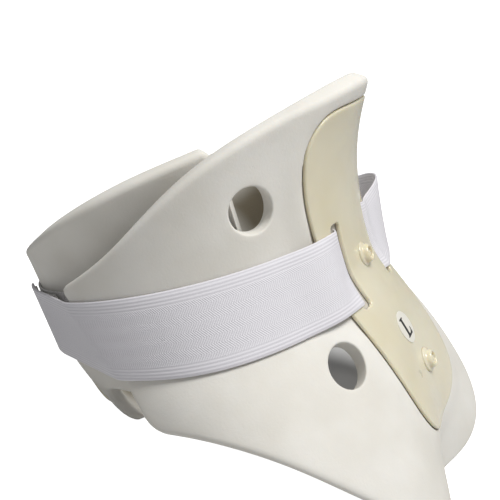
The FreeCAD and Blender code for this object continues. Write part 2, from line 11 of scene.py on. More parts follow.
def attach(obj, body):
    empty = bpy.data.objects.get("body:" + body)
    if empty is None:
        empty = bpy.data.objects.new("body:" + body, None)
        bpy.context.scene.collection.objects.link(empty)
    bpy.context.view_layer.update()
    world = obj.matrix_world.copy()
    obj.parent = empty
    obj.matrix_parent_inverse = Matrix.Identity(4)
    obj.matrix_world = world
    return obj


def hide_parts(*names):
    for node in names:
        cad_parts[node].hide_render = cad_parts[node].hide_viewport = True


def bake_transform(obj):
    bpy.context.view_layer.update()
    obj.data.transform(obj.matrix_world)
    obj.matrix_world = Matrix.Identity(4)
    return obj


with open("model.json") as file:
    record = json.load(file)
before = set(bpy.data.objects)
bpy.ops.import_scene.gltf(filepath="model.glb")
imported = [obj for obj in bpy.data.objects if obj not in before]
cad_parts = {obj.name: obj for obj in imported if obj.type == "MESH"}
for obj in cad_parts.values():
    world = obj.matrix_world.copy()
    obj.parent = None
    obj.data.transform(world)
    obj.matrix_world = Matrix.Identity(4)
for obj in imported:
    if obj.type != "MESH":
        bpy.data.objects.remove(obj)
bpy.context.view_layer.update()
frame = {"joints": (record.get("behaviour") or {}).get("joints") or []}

# Lengths below are in millimetres in the collar's own upright frame: the origin is on the neck axis at
# the waist, -Y is the chin and -X the wearer's right, and an angle goes round the neck from the chin
# (0) through the right ear (90) to the nape (180). They repeat the model's source, apart from the back
# half's near end, which reaches 3 degrees further, and the left strap run, which bows out a little
# more. to_row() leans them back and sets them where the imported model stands, in metres.

# ------------------------------------------------------------------ shape of the two shells
# rim height and radius, waist height and radius, foot height and radius, belly
FRONT_STATIONS = {
    0: (69.0, 101.0, -7.0, 75.0, -128.0, 79.0, 16.0),
    30: (66.0, 95.0, -7.0, 79.0, -119.0, 109.0, 14.7),
    60: (56.5, 90.0, -5.0, 82.0, -58.0, 113.0, 10.0),
    90: (37.0, 85.0, -3.0, 83.0, -37.5, 95.0, 4.0),
    115: (27.0, 83.5, -1.0, 84.5, -38.0, 89.0, 0.0),
}
BACK_STATIONS = {
    54: (63.0, 72.0, 0.0, 62.5, -30.0, 64.0, 0.0),
    80: (60.3, 74.5, 0.0, 62.5, -34.0, 65.0, 0.0),
    115: (51.6, 79.5, 0.0, 68.5, -32.0, 68.0, 0.0),
    150: (43.5, 83.5, 0.0, 82.5, -43.0, 72.0, 0.0),
    180: (42.0, 87.0, 0.0, 86.0, -72.0, 75.0, 0.0),
}
RIM_POWER, FOOT_POWER, BELLY_START = 2.2, 1.9, 0.11
FRONT_END, BACK_NEAR, BACK_FAR, END_DROP = 119.0, 47.0, 262.0, 5.0
FOAM = 8.0
PLATE_LOW, PLATE_HIGH = 0.1, 2.3
STRAP_HEIGHTS = {0: -6.2, 60: -2.4, 110: 4.2, 160: 9.5}
STRAP_WIDTH, STRAP_THICK = 35.0, 1.5
SPAN = 1.45                      # millimetres per degree in the flat plan of a shell


def natural_spline(keys, values):
    """A natural cubic spline through values at keys."""
    keys, values = np.array(keys, float), np.array(values, float)
    gaps, count = np.diff(keys), len(keys)
    slopes = np.diff(values) / gaps
    system, right = np.eye(count), np.zeros(count)
    for i in range(1, count - 1):
        system[i, i - 1:i + 2] = gaps[i - 1], 2 * (gaps[i - 1] + gaps[i]), gaps[i]
        right[i] = 6 * (slopes[i] - slopes[i - 1])
    bends = np.linalg.solve(system, right)

    def curve(key):
        key = np.asarray(key, float)
        i = np.clip(np.searchsorted(keys, key, side="right") - 1, 0, count - 2)
        after = (key - keys[i]) / gaps[i]
        before = 1 - after
        bow = (before ** 3 - before) * bends[i] + (after ** 3 - after) * bends[i + 1]
        return before * values[i] + after * values[i + 1] + bow * gaps[i] ** 2 / 6

    return curve


def mirrored_spline(keys, values, mirror):
    """A natural cubic spline that is the same on both sides of the mirror angle."""
    pairs = dict(zip(keys, values))
    pairs.update({2 * mirror - key: value for key, value in zip(keys, values)})
    ordered = sorted(pairs)
    return natural_spline(ordered, [pairs[key] for key in ordered])


def around(angle, radius, height):
    """The point at an angle round the neck, a radius from its axis and a height."""
    turn = np.radians(angle)
    return np.stack(np.broadcast_arrays(-np.sin(turn) * radius, -np.cos(turn) * radius, height), -1)


class Shell:
    """The outer face of a foam half, as a radius by angle and height."""

    def __init__(self, stations, mirror):
        columns = zip(*stations.values())
        self.curves = [mirrored_spline(list(stations), column, mirror) for column in columns]

    def rim(self, angle):
        return self.curves[0](angle)

    def foot(self, angle):
        return self.curves[4](angle)

    def radius(self, angle, height):
        rim_z, rim_r, waist_z, waist_r, foot_z, foot_r, belly = (curve(angle) for curve in self.curves)
        rise = np.maximum((height - waist_z) / (rim_z - waist_z), 0)
        fall = np.maximum((waist_z - height) / (waist_z - foot_z), 0)
        upper = waist_r + (rim_r - waist_r) * rise ** RIM_POWER
        bulge = 4 * belly * (np.hypot(fall, BELLY_START) - BELLY_START) * (1 - fall)
        lower = waist_r + (foot_r - waist_r) * fall ** FOOT_POWER + bulge
        return np.where(height > waist_z, upper, lower)

    def point(self, angle, height, offset=0.0):
        slope = (self.radius(angle, height + 0.25) - self.radius(angle, height - 0.25)) / 0.5
        size = np.hypot(1.0, slope)
        return around(angle, self.radius(angle, height) + offset / size, height - offset * slope / size)

    def normal(self, angle, height):
        step = self.point(angle, height, 1.0) - self.point(angle, height, 0.0)
        return step / np.linalg.norm(step)

    def plan(self, x, height):
        """Place in the flat plan of points seen from the front or back at x and a height."""
        angle = np.degrees(np.arcsin(x / self.radius(0 * x, height)))
        for _ in range(6):
            angle = np.degrees(np.arcsin(x / self.radius(angle, height)))
        return np.stack([angle * SPAN, height], -1)


front = Shell(FRONT_STATIONS, 0.0)
back = Shell(BACK_STATIONS, 180.0)
strap_height = mirrored_spline(list(STRAP_HEIGHTS), list(STRAP_HEIGHTS.values()), 0.0)


def smooth_step(low, high, value):
    share = np.clip((value - low) / (high - low), 0, 1)
    return share * share * (3 - 2 * share)


# ------------------------------------------------------------------ strap line
WING_CLEAR, BACK_CONTACT = 108.0, 134.0
FLAT_FROM, FLAT_FULL = 19.5, 27.0
OVER_BACK, TAUT_OVER_BACK = 3.65, 3.3      # the strap rides this far off the back foam
SLOT_ENTRY, SLOT_EXIT = 14.0, 19.4
SLACK_FROM, SLACK_TO, SLACK, SLACK_RISE = 21.0, 62.0, 16.0, 4.6
STRAP_END, HINGE_ANGLE, PIVOT_ANGLE = 153.0, 107.0, 21.8


def strap_lift(angle):
    """How far the strap's inner face is off the foam: behind the centre bar, then over the plate."""
    behind, over_plate = -1.6, 2.5
    lift = behind + (over_plate - behind) * smooth_step(SLOT_ENTRY, SLOT_EXIT, angle)
    return lift + (0.5 - over_plate) * smooth_step(29.0, 44.0, angle)


def strap_bow(angle):
    """Share of its full slack that the looser left strap has at an angle."""
    along = np.clip((-angle - SLACK_FROM) / (SLACK_TO - SLACK_FROM), 0, 1)
    return np.sin(np.pi * along) ** 2


def strap_radius(angle, rise):
    """Radius of the strap's inner face at a rise above its middle line."""
    share = rise / STRAP_WIDTH + 0.5
    slack = SLACK * strap_bow(angle) * (0.25 + 0.75 * share)
    angle = np.abs(angle)
    middle, half = strap_height(angle), STRAP_WIDTH / 2
    wing = np.minimum(angle, FRONT_END)
    chord = front.radius(wing, middle - half) * (1 - share) + front.radius(wing, middle + half) * share
    flat = smooth_step(FLAT_FROM, FLAT_FULL, angle)
    over_front = chord * flat + front.radius(wing, middle + rise) * (1 - flat) + strap_lift(angle) + slack
    over_back = (back.radius(angle, middle - half) * (1 - share) + back.radius(angle, middle + half) * share
                 + OVER_BACK)
    drop = smooth_step(WING_CLEAR, BACK_CONTACT, angle)
    return over_front * (1 - drop) + over_back * drop


def strap_point(angle, rise, offset):
    height = strap_height(np.abs(angle)) + rise + SLACK_RISE * strap_bow(angle)
    return around(angle, strap_radius(angle, rise) + offset, height)


# ------------------------------------------------------------------ from the upright frame to the row
chest = around(0, front.curves[5](0) - FOAM / 2, front.foot(0))
nape = around(180, back.curves[5](180) - FOAM / 2, back.foot(180))
LEAN = -math.atan2(nape[2] - chest[2], nape[1] - chest[1])
lean = np.array([[1, 0, 0], [0, math.cos(LEAN), -math.sin(LEAN)], [0, math.sin(LEAN), math.cos(LEAN)]])
joints = {joint["name"]: joint for joint in frame["joints"]}
pivot_here = (strap_point(PIVOT_ANGLE, -STRAP_WIDTH / 2, STRAP_THICK)
              + strap_point(PIVOT_ANGLE, STRAP_WIDTH / 2, STRAP_THICK)) / 2
base = np.array(joints["right_strap_swing"]["pos_m"]) * 1000 - lean @ pivot_here


def to_row(points):
    """Metres in the row frame; nothing goes under the surface the collar stands on."""
    placed = (np.asarray(points, float) @ lean.T + base) / 1000
    placed[..., 2] = np.maximum(placed[..., 2], 0.0)
    return placed


# ------------------------------------------------------------------ camera
VIEW_TURN, VIEW_RISE, VIEW_ROLL = math.radians(63.82), math.radians(11.09), math.radians(19.42)
VIEW_DISTANCE, VIEW_ASIDE, VIEW_UP = 400.49, 20.15, 5.14
VIEW_LENS, SENSOR = 57.2, 36.0


def make_camera():
    towards = np.array([-math.sin(VIEW_TURN) * math.cos(VIEW_RISE),
                        -math.cos(VIEW_TURN) * math.cos(VIEW_RISE), math.sin(VIEW_RISE)])
    right = np.cross(-towards, [0, 0, 1])
    right /= np.linalg.norm(right)
    up = np.cross(right, -towards)
    place = np.array([0, 0, VIEW_UP]) + right * VIEW_ASIDE + towards * VIEW_DISTANCE
    axes = np.stack([right * math.cos(VIEW_ROLL) - up * math.sin(VIEW_ROLL),
                     right * math.sin(VIEW_ROLL) + up * math.cos(VIEW_ROLL), towards], 1)
    data = bpy.data.cameras.new("camera")
    data.lens, data.sensor_width = VIEW_LENS, SENSOR
    data.clip_start, data.clip_end = 0.01, 50.0
    camera = bpy.data.objects.new("camera", data)
    bpy.context.scene.collection.objects.link(camera)
    spot = (lean @ place + base) / 1000
    turned = Matrix((lean @ axes).tolist()).to_4x4()
    camera.matrix_world = Matrix.Translation(Vector(spot)) @ turned
    bpy.context.scene.camera = camera


make_camera()


# ------------------------------------------------------------------ mesh tools
def make_object(name, points, faces, material, body, plan=None, shade=None):
    """A smooth mesh piece in the row frame.

    plan gives each vertex its place in the cloth, in mm, and shade how much painted shade its colour takes.
    """
    mesh = bpy.data.meshes.new(name)
    mesh.from_pydata(to_row(points).tolist(), [], faces)
    mesh.validate()
    mesh.polygons.foreach_set("use_smooth", np.ones(len(mesh.polygons), bool))
    if plan is not None:
        corners = np.zeros(len(mesh.loops), np.int32)
        mesh.loops.foreach_get("vertex_index", corners)
        layer = mesh.uv_layers.new(name="cloth")
        layer.data.foreach_set("uv", (np.asarray(plan)[corners] / 1000).astype(np.float32).ravel())
    if shade is not None:
        mesh.attributes.new("shade", "FLOAT", "POINT").data.foreach_set("value", shade.astype(np.float32))
    mesh.materials.append(material)
    made = bpy.data.objects.new(name, mesh)
    bpy.context.scene.collection.objects.link(made)
    if body:
        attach(made, body)
    return made


def resample(points, step):
    """The closed or open run of plan points, evenly spaced."""
    gaps = np.linalg.norm(np.diff(points, axis=0), axis=1)
    along = np.concatenate([[0], np.cumsum(gaps)])
    count = max(2, int(round(along[-1] / step)) + 1)
    wanted = np.linspace(0, along[-1], count)
    return np.stack([np.interp(wanted, along, points[:, axis]) for axis in (0, 1)], -1)


def join(runs, cuts, step):
    """One closed loop from runs that meet at corners, each corner rounded over the length in cuts."""
    trimmed = []
    for i, run in enumerate(runs):
        run = resample(run, 0.5)
        before, after = int(cuts[i - 1] / 0.5), int(cuts[i] / 0.5)
        trimmed.append(run[before:len(run) - after])
    loop = []
    for i, run in enumerate(trimmed):
        following = trimmed[(i + 1) % len(trimmed)]
        corner = resample(runs[i], 0.5)[-1]
        t = np.linspace(0, 1, 12)[1:-1, None]
        bend = (1 - t) ** 2 * run[-1] + 2 * t * (1 - t) * corner + t ** 2 * following[0]
        loop += [run, bend]
    closed = np.concatenate(loop + [trimmed[0][:1]])
    return resample(closed, step)[:-1]


def curve_through(points, step=0.5):
    points = np.array(points, float)
    keys = np.concatenate([[0], np.cumsum(np.linalg.norm(np.diff(points, axis=0), axis=1))])
    wanted = np.linspace(0, keys[-1], int(keys[-1] / step))
    return np.stack([natural_spline(keys, points[:, axis])(wanted) for axis in (0, 1)], -1)


def inside(points, loops):
    """Whether plan points lie inside the outline and outside the holes."""
    odd = np.zeros(len(points), bool)
    for loop in loops:
        ahead = np.roll(loop, -1, 0)
        for (x0, y0), (x1, y1) in zip(loop, ahead):
            if y0 == y1:
                continue
            crosses = (y0 > points[:, 1]) != (y1 > points[:, 1])
            odd ^= crosses & (points[:, 0] < x0 + (points[:, 1] - y0) * (x1 - x0) / (y1 - y0))
    return odd


def nearest(points, loops):
    """Distance from each plan point to the nearest of the loops' points."""
    spots = np.concatenate(loops)
    tree = KDTree(len(spots))
    for i, (x, y) in enumerate(spots):
        tree.insert((x, y, 0), i)
    tree.balance()
    return np.array([tree.find((x, y, 0))[2] for x, y in points])


def wound(loop, anticlockwise):
    """The loop, turned round where it runs the other way."""
    ahead = np.roll(loop, -1, 0)
    area = np.sum(loop[:, 0] * ahead[:, 1] - ahead[:, 0] * loop[:, 1])
    return loop if (area > 0) == anticlockwise else loop[::-1]


def inset(loop, distance):
    """The loop moved to its left, into the material."""
    along = np.roll(loop, -1, 0) - np.roll(loop, 1, 0)
    along /= np.linalg.norm(along, axis=1)[:, None]
    return loop + distance * np.stack([-along[:, 1], along[:, 0]], -1)


EDGE_STEPS = 5


def slab(name, place, outline, holes, low, high, spacing, edges, material, body, creases=(),
         relief=None, groove=None):
    """A sheet of even thickness over a shell, cut to an outline with holes, with rounded edges.

    place(u, height, offset) puts a point of the flat plan in space. edges holds the rounding of the
    outline and of each hole, relief raises the outer face by plan position, and groove gives the
    painted shade of the outer face by plan position. The inner face gets painted shade that deepens
    away from the edges.
    """
    loops = [wound(outline, True)] + [wound(hole, False) for hole in holes]
    rims = [inset(loop, edge) for loop, edge in zip(loops, edges)]
    low_corner, high_corner = outline.min(0), outline.max(0)
    columns = np.arange(low_corner[0], high_corner[0], spacing)
    rows = np.arange(low_corner[1], high_corner[1], spacing)
    grid = np.stack(np.meshgrid(columns, rows), -1).reshape(-1, 2)
    grid = grid[inside(grid, rims)]
    kept_lines = [line[inside(line, rims)] for line in creases]
    kept_lines = [line[nearest(line, rims) > 0.4 * spacing] for line in kept_lines if len(line)]
    grid = grid[nearest(grid, rims + kept_lines) > 0.55 * spacing]
    flat = np.concatenate(rims + kept_lines + [grid])
    borders, start = [], 0
    for rim in rims:
        count = len(rim)
        borders += [(start + i, start + (i + 1) % count) for i in range(count)]
        start += count
    verts, _, tris, _, _, _ = delaunay_2d_cdt([Vector(p) for p in flat], borders, [], 0, 1e-6)
    assert len(verts) == len(flat), f"{name}: the plan crosses itself"
    tris = np.array([list(tri) for tri in tris])
    middles = flat[tris].mean(1)
    tris = tris[inside(middles, rims)]

    lift = relief(flat) if relief else np.zeros(len(flat))
    outer = place(flat[:, 0], flat[:, 1], high + lift)
    inner = place(flat[:, 0], flat[:, 1], low + 0 * lift)
    points, faces = [outer, inner], []
    total = len(flat)
    # painted shade: the outer face takes what groove gives, and the inner face darkens away from its edges
    shades = [groove(flat) if groove else np.zeros(total), smooth_step(1.0, 16.0, nearest(flat, loops))]
    faces += tris.tolist() + (tris[:, ::-1] + total).tolist()
    made, start = 2 * total, 0
    for loop, rim, edge in zip(loops, rims, edges):
        count = len(loop)
        rings = [np.arange(start, start + count)]
        turn = np.linspace(0, np.pi / 2, EDGE_STEPS + 1)[1:]
        for side in (1, -1):
            for t in (turn if side == 1 else turn[::-1]):
                ring = loop + (rim - loop) * (1 - math.sin(t))
                drop = edge * (1 - math.cos(t))
                offset = high + lift[start:start + count] - drop if side == 1 else low + drop
                points.append(place(ring[:, 0], ring[:, 1], offset))
                shades.append(np.zeros(count))
                rings.append(np.arange(made, made + count))
                made += count
        rings.append(np.arange(start + total, start + total + count))
        for upper, lower in zip(rings, rings[1:]):
            quads = np.stack([upper, lower, np.roll(lower, -1), np.roll(upper, -1)], -1)
            faces += quads.tolist()
        start += count
    return make_object(name, np.concatenate(points), faces, material, body,
                       shade=np.concatenate(shades))


def on_shell(shell):
    """The place function of a slab that lies on a shell."""
    def place(u, height, offset):
        return shell.point(u / SPAN, height, offset)
    return place


def ribbon(name, point, angles, width, thick, material, body, across=18):
    """A flat woven strip: point(angle, rise, offset) gives its inner face, thick its thickness."""
    half = width / 2
    spread = np.linspace(-half + thick * 0.5, half - thick * 0.5, across)
    turn = np.linspace(-np.pi / 2, np.pi / 2, 5)[1:-1]
    section = [(rise, thick) for rise in spread]
    section += [(half - thick * 0.5 + thick * 0.5 * math.cos(t), thick / 2 - thick / 2 * math.sin(t))
                for t in turn]
    section += [(rise, 0.0) for rise in spread[::-1]]
    section += [(-half + thick * 0.5 - thick * 0.5 * math.cos(t), thick / 2 + thick / 2 * math.sin(t))
                for t in turn]
    rises, offsets = (np.array(column) for column in zip(*section))
    count, rows = len(section), len(angles)
    points = np.stack([point(angle, rises, offsets) for angle in angles])
    middle = np.array([point(angle, 0.0, thick) for angle in angles])
    along = np.concatenate([[0], np.cumsum(np.linalg.norm(np.diff(middle, axis=0), axis=1))])
    plan = np.stack([np.repeat(along, count), np.tile(rises, rows)], -1)
    ids = np.arange(rows * count).reshape(rows, count)
    quads = np.stack([ids[:-1], ids[1:], np.roll(ids[1:], -1, 1), np.roll(ids[:-1], -1, 1)], -1)
    faces = quads.reshape(-1, 4).tolist()
    if angles[-1] < angles[0]:
        faces = [face[::-1] for face in faces]
    ends = [ids[0].tolist(), ids[-1][::-1].tolist()]
    for end in (ends if angles[-1] > angles[0] else [e[::-1] for e in ends]):
        pairs = [(end[i], end[i + 1], end[-2 - i], end[-1 - i]) for i in range(len(end) // 2 - 1)]
        faces += pairs
    return make_object(name, points.reshape(-1, 3), faces, material, body, plan)


def lathe(name, profile, shell, angle, height, offset, material, body, segments=56, wobble=None):
    """A turned piece on a shell's surface: profile is (radius, height) from its axis out and round."""
    origin, normal = shell.point(angle, height, offset), shell.normal(angle, height)
    side = np.cross(normal, [0, 0, 1.0])
    side /= np.linalg.norm(side)
    upward = np.cross(side, normal)
    turns = np.linspace(0, 2 * np.pi, segments, endpoint=False)
    rings = []
    for radius, rise in profile:
        swing = radius * (1 + (wobble(turns, radius, rise) if wobble else 0 * turns))
        rings.append(origin + np.outer(np.cos(turns) * swing, side)
                     + np.outer(np.sin(turns) * swing, upward) + rise * normal)
    ids = np.arange(len(profile) * segments).reshape(len(profile), segments)
    faces = np.stack([ids[:-1], np.roll(ids[:-1], -1, 1), np.roll(ids[1:], -1, 1), ids[1:]], -1)
    faces = faces.reshape(-1, 4).tolist() + [ids[0][::-1].tolist(), ids[-1].tolist()]
    return make_object(name, np.concatenate(rings), faces, material, body)


# ------------------------------------------------------------------ materials
def new_material(name, colour, roughness, **sockets):
    material = bpy.data.materials.new(name)
    material.use_nodes = True
    shader = material.node_tree.nodes["Principled BSDF"]
    shader.inputs["Base Color"].default_value = (*colour, 1)
    shader.inputs["Roughness"].default_value = roughness
    for socket, value in sockets.items():
        shader.inputs[socket.replace("_", " ")].default_value = value
    return material, material.node_tree, shader


def add(tree, kind, links=(), **settings):
    """A node with plain inputs set by name and links given as (input, output socket)."""
    node = tree.nodes.new(kind)
    for key, value in settings.items():
        if hasattr(node, key):
            setattr(node, key, value)
        else:
            node.inputs[key.replace("_", " ")].default_value = value
    for target, source in links:
        tree.links.new(node.inputs[target], source)
    return node


def math_node(tree, operation, first, second=None, third=None):
    node = tree.nodes.new("ShaderNodeMath")
    node.operation = operation
    for i, value in enumerate((first, second, third)):
        if value is None:
            continue
        if isinstance(value, (int, float)):
            node.inputs[i].default_value = value
        else:
            tree.links.new(node.inputs[i], value)
    return node.outputs[0]


def blotches(tree, vector, scale, dark, light, low=0.35, high=0.65, detail=3.0):
    """A colour that drifts between two tones."""
    noise = add(tree, "ShaderNodeTexNoise", [("Vector", vector)], Scale=scale, Detail=detail)
    ramp = add(tree, "ShaderNodeValToRGB", [("Fac", noise.outputs["Fac"])])
    ramp.color_ramp.elements[0].position, ramp.color_ramp.elements[1].position = low, high
    ramp.color_ramp.elements[0].color, ramp.color_ramp.elements[1].color = (*dark, 1), (*light, 1)
    return ramp.outputs["Color"]


PAINTED_SHADE_TONE = (0.20, 0.165, 0.105)    # painted shade: a warm dark mixed into the foam on its neck side and in the groove round the plate


def foam_material(name, dark, light):
    material, tree, shader = new_material(name, light, 0.82, Subsurface_Weight=0.12,
                                          Subsurface_Scale=0.004)
    shader.inputs["Specular IOR Level"].default_value = 0.25
    shader.inputs["Subsurface Radius"].default_value = (1.0, 0.8, 0.6)
    where = add(tree, "ShaderNodeTexCoord").outputs["Object"]
    # painted shade: the shade attribute mixes the painted shade tone into the foam's own mottled colour
    painted_shade = add(tree, "ShaderNodeAttribute", attribute_name="shade").outputs["Fac"]
    tone = add(tree, "ShaderNodeMix", data_type="RGBA")
    tree.links.new(tone.inputs["Factor"], math_node(tree, "MULTIPLY", painted_shade, 0.9))
    tree.links.new(tone.inputs["A"], blotches(tree, where, 34.0, dark, light))
    tone.inputs["B"].default_value = (*PAINTED_SHADE_TONE, 1)
    tree.links.new(shader.inputs["Base Color"], tone.outputs["Result"])
    grain = add(tree, "ShaderNodeTexNoise", [("Vector", where)], Scale=900.0, Detail=3.0, Roughness=0.6)
    swell = add(tree, "ShaderNodeTexNoise", [("Vector", where)], Scale=160.0, Detail=2.0)
    cells = add(tree, "ShaderNodeTexVoronoi", [("Vector", where)], Scale=130.0)
    pit = math_node(tree, "LESS_THAN", cells.outputs["Distance"], 0.085)
    total = math_node(tree, "MULTIPLY_ADD", swell.outputs["Fac"], 0.8, grain.outputs["Fac"])
    total = math_node(tree, "MULTIPLY_ADD", pit, -1.2, total)
    bump = add(tree, "ShaderNodeBump", [("Height", total)], Strength=0.35, Distance=0.00022)
    tree.links.new(shader.inputs["Normal"], bump.outputs["Normal"])
    return material


def plastic_material(name, dark, light, roughness=0.2):
    material, tree, shader = new_material(name, light, roughness, Subsurface_Weight=0.35,
                                          Subsurface_Scale=0.004)
    shader.inputs["Subsurface Radius"].default_value = (1.0, 0.75, 0.45)
    shader.inputs["IOR"].default_value = 1.5
    shader.inputs["Coat Weight"].default_value = 0.25
    shader.inputs["Coat Roughness"].default_value = 0.12
    where = add(tree, "ShaderNodeTexCoord").outputs["Object"]
    tree.links.new(shader.inputs["Base Color"], blotches(tree, where, 22.0, dark, light))
    waves = add(tree, "ShaderNodeTexNoise", [("Vector", where)], Scale=70.0, Detail=1.5)
    fine = add(tree, "ShaderNodeTexNoise", [("Vector", where)], Scale=600.0, Detail=2.0)
    rough = add(tree, "ShaderNodeMapRange", [("Value", fine.outputs["Fac"])],
                To_Min=roughness * 0.8, To_Max=roughness * 1.5)
    tree.links.new(shader.inputs["Roughness"], rough.outputs[0])
    height = math_node(tree, "MULTIPLY_ADD", fine.outputs["Fac"], 0.05, waves.outputs["Fac"])
    bump = add(tree, "ShaderNodeBump", [("Height", height)], Strength=0.25, Distance=0.0009)
    tree.links.new(shader.inputs["Normal"], bump.outputs["Normal"])
    return material


def strap_material(name, dark, light):
    """Woven elastic webbing: a fine herringbone, with straight ribs beside both edges."""
    material, tree, shader = new_material(name, light, 0.72, Sheen_Weight=0.25, Sheen_Roughness=0.4)
    shader.inputs["Specular IOR Level"].default_value = 0.3
    plan = add(tree, "ShaderNodeUVMap", uv_map="cloth").outputs["UV"]
    split = add(tree, "ShaderNodeSeparateXYZ", [("Vector", plan)])
    turn, twill_pitch, zigzag_pitch, thread_pitch, rib_pitch = 2 * math.pi, 1.05, 1.3, 0.62, 1.45
    along = math_node(tree, "MULTIPLY", split.outputs["X"], 1000.0)
    across = math_node(tree, "MULTIPLY", split.outputs["Y"], 1000.0)
    zigzag = math_node(tree, "PINGPONG", across, 3.2)
    phase = math_node(tree, "ADD", math_node(tree, "MULTIPLY", along, turn / twill_pitch),
                      math_node(tree, "MULTIPLY", zigzag, turn / zigzag_pitch))
    twill = math_node(tree, "SINE", phase)
    threads = math_node(tree, "SINE", math_node(tree, "MULTIPLY", across, turn / thread_pitch))
    ribs = math_node(tree, "SINE", math_node(tree, "MULTIPLY", across, turn / rib_pitch))
    edge = add(tree, "ShaderNodeMapRange", [("Value", math_node(tree, "ABSOLUTE", across))],
               From_Min=11.0, From_Max=12.4).outputs[0]
    weave = math_node(tree, "MULTIPLY_ADD", threads, 0.25, twill)
    weave = math_node(tree, "MULTIPLY", weave, math_node(tree, "SUBTRACT", 1.0, edge))
    weave = math_node(tree, "MULTIPLY_ADD", math_node(tree, "MULTIPLY", ribs, edge), 0.8, weave)
    fuzz = add(tree, "ShaderNodeTexNoise", [("Vector", plan)], Scale=2600.0, Detail=2.0)
    height = math_node(tree, "MULTIPLY_ADD", fuzz.outputs["Fac"], 0.9, weave)
    bump = add(tree, "ShaderNodeBump", [("Height", height)], Strength=0.45, Distance=0.00012)
    tree.links.new(shader.inputs["Normal"], bump.outputs["Normal"])
    # painted shade: the colour follows the weave's height, darker in its hollows and lighter on its raised
    # threads
    tone = add(tree, "ShaderNodeMapRange", [("Value", height)], From_Min=-1.4, From_Max=1.8)
    ramp = add(tree, "ShaderNodeValToRGB", [("Fac", tone.outputs[0])])
    ramp.color_ramp.elements[0].color, ramp.color_ramp.elements[1].color = (*dark, 1), (*light, 1)
    tree.links.new(shader.inputs["Base Color"], ramp.outputs["Color"])
    return material


def pile_material(name, dark, light, scale, strength):
    """Hook or loop fastener: short dense pile."""
    material, tree, shader = new_material(name, light, 0.85, Sheen_Weight=0.4, Sheen_Roughness=0.5)
    where = add(tree, "ShaderNodeTexCoord").outputs["Object"]
    cells = add(tree, "ShaderNodeTexVoronoi", [("Vector", where)], Scale=scale)
    # painted shade: the colour follows the same cells as the bump, darker between the tufts of pile and
    # lighter on them
    ramp = add(tree, "ShaderNodeValToRGB", [("Fac", cells.outputs["Distance"])])
    ramp.color_ramp.elements[0].color, ramp.color_ramp.elements[1].color = (*light, 1), (*dark, 1)
    tree.links.new(shader.inputs["Base Color"], ramp.outputs["Color"])
    bump = add(tree, "ShaderNodeBump", [("Height", cells.outputs["Distance"])], Strength=strength,
               Distance=-0.0004)
    tree.links.new(shader.inputs["Normal"], bump.outputs["Normal"])
    return material


def plain_grained(name, dark, light, roughness, scale):
    """Paper, ink or floor: an even tone with a faint grain."""
    material, tree, shader = new_material(name, light, roughness)
    where = add(tree, "ShaderNodeTexCoord").outputs["Object"]
    tree.links.new(shader.inputs["Base Color"], blotches(tree, where, scale, dark, light))
    return material


foam_skin = foam_material("foam", (0.735, 0.715, 0.665), (0.80, 0.785, 0.745))
plate_skin = plastic_material("plate_plastic", (0.72, 0.66, 0.49), (0.78, 0.73, 0.58))
rivet_skin = plastic_material("rivet_plastic", (0.72, 0.65, 0.48), (0.80, 0.74, 0.58), 0.16)
strap_skin = strap_material("strap_weave", (0.60, 0.59, 0.64), (0.86, 0.85, 0.90))
loop_skin = pile_material("loop_pile", (0.52, 0.51, 0.50), (0.80, 0.79, 0.78), 1300.0, 0.8)
hook_skin = pile_material("hook_pile", (0.42, 0.41, 0.40), (0.74, 0.73, 0.71), 800.0, 1.0)
label_skin = plain_grained("label_paper", (0.80, 0.78, 0.71), (0.83, 0.81, 0.75), 0.35, 90.0)
ink_skin = plain_grained("label_ink", (0.008, 0.008, 0.008), (0.014, 0.014, 0.014), 0.4, 200.0)


# ------------------------------------------------------------------ front foam shell
WING_TOP, WING_FOOT = (113.0, 27.0), (91.0, -38.0)
VENT_RADIUS, VENT_PLACES = 9.8, ((46.0, 35.6), (36.2, -38.6))


def rear_edge(heights):
    """Angle of the wing's slanted rear edge at each height."""
    y_top, y_foot = (-math.cos(math.radians(a)) * front.radius(a, h) for a, h in (WING_TOP, WING_FOOT))
    wanted = y_foot + (heights - WING_FOOT[1]) * (y_top - y_foot) / (WING_TOP[1] - WING_FOOT[1])
    low, high = np.full_like(heights, 60.0), np.full_like(heights, FRONT_END + 3)
    for _ in range(24):
        middle = (low + high) / 2
        short = -np.cos(np.radians(middle)) * front.radius(middle, heights) < wanted
        low, high = np.where(short, middle, low), np.where(short, high, middle)
    return (low + high) / 2


def front_outline():
    top_z, foot_z = np.array([26.0]), np.array([-38.0])
    for _ in range(12):
        top_z, foot_z = front.rim(rear_edge(top_z)), front.foot(rear_edge(foot_z))
    top_a, foot_a = rear_edge(top_z)[0], rear_edge(foot_z)[0]
    heights = np.linspace(top_z[0], foot_z[0], 60)
    rear = np.stack([rear_edge(heights) * SPAN, heights], -1)
    rims = np.linspace(-top_a, top_a, 300)
    feet = np.linspace(foot_a, -foot_a, 300)
    top = np.stack([rims * SPAN, front.rim(rims)], -1)
    foot = np.stack([feet * SPAN, front.foot(feet)], -1)
    return join([top, rear, foot, (rear * [-1, 1])[::-1]], [5.0, 9.0, 9.0, 5.0], 1.4)


def vent(angle, height, radius):
    """A round hole square to the front shell, in its flat plan."""
    centre, normal = front.point(angle, height), front.normal(angle, height)
    side = np.cross(normal, [0, 0, 1.0])
    side /= np.linalg.norm(side)
    upward = np.cross(side, normal)
    turns = np.linspace(0, 2 * np.pi, 56, endpoint=False)[:, None]
    circle = centre + radius * (np.cos(turns) * side + np.sin(turns) * upward)
    angles = np.degrees(np.arctan2(-circle[:, 0], -circle[:, 1]))
    return np.stack([angles * SPAN, circle[:, 2]], -1)


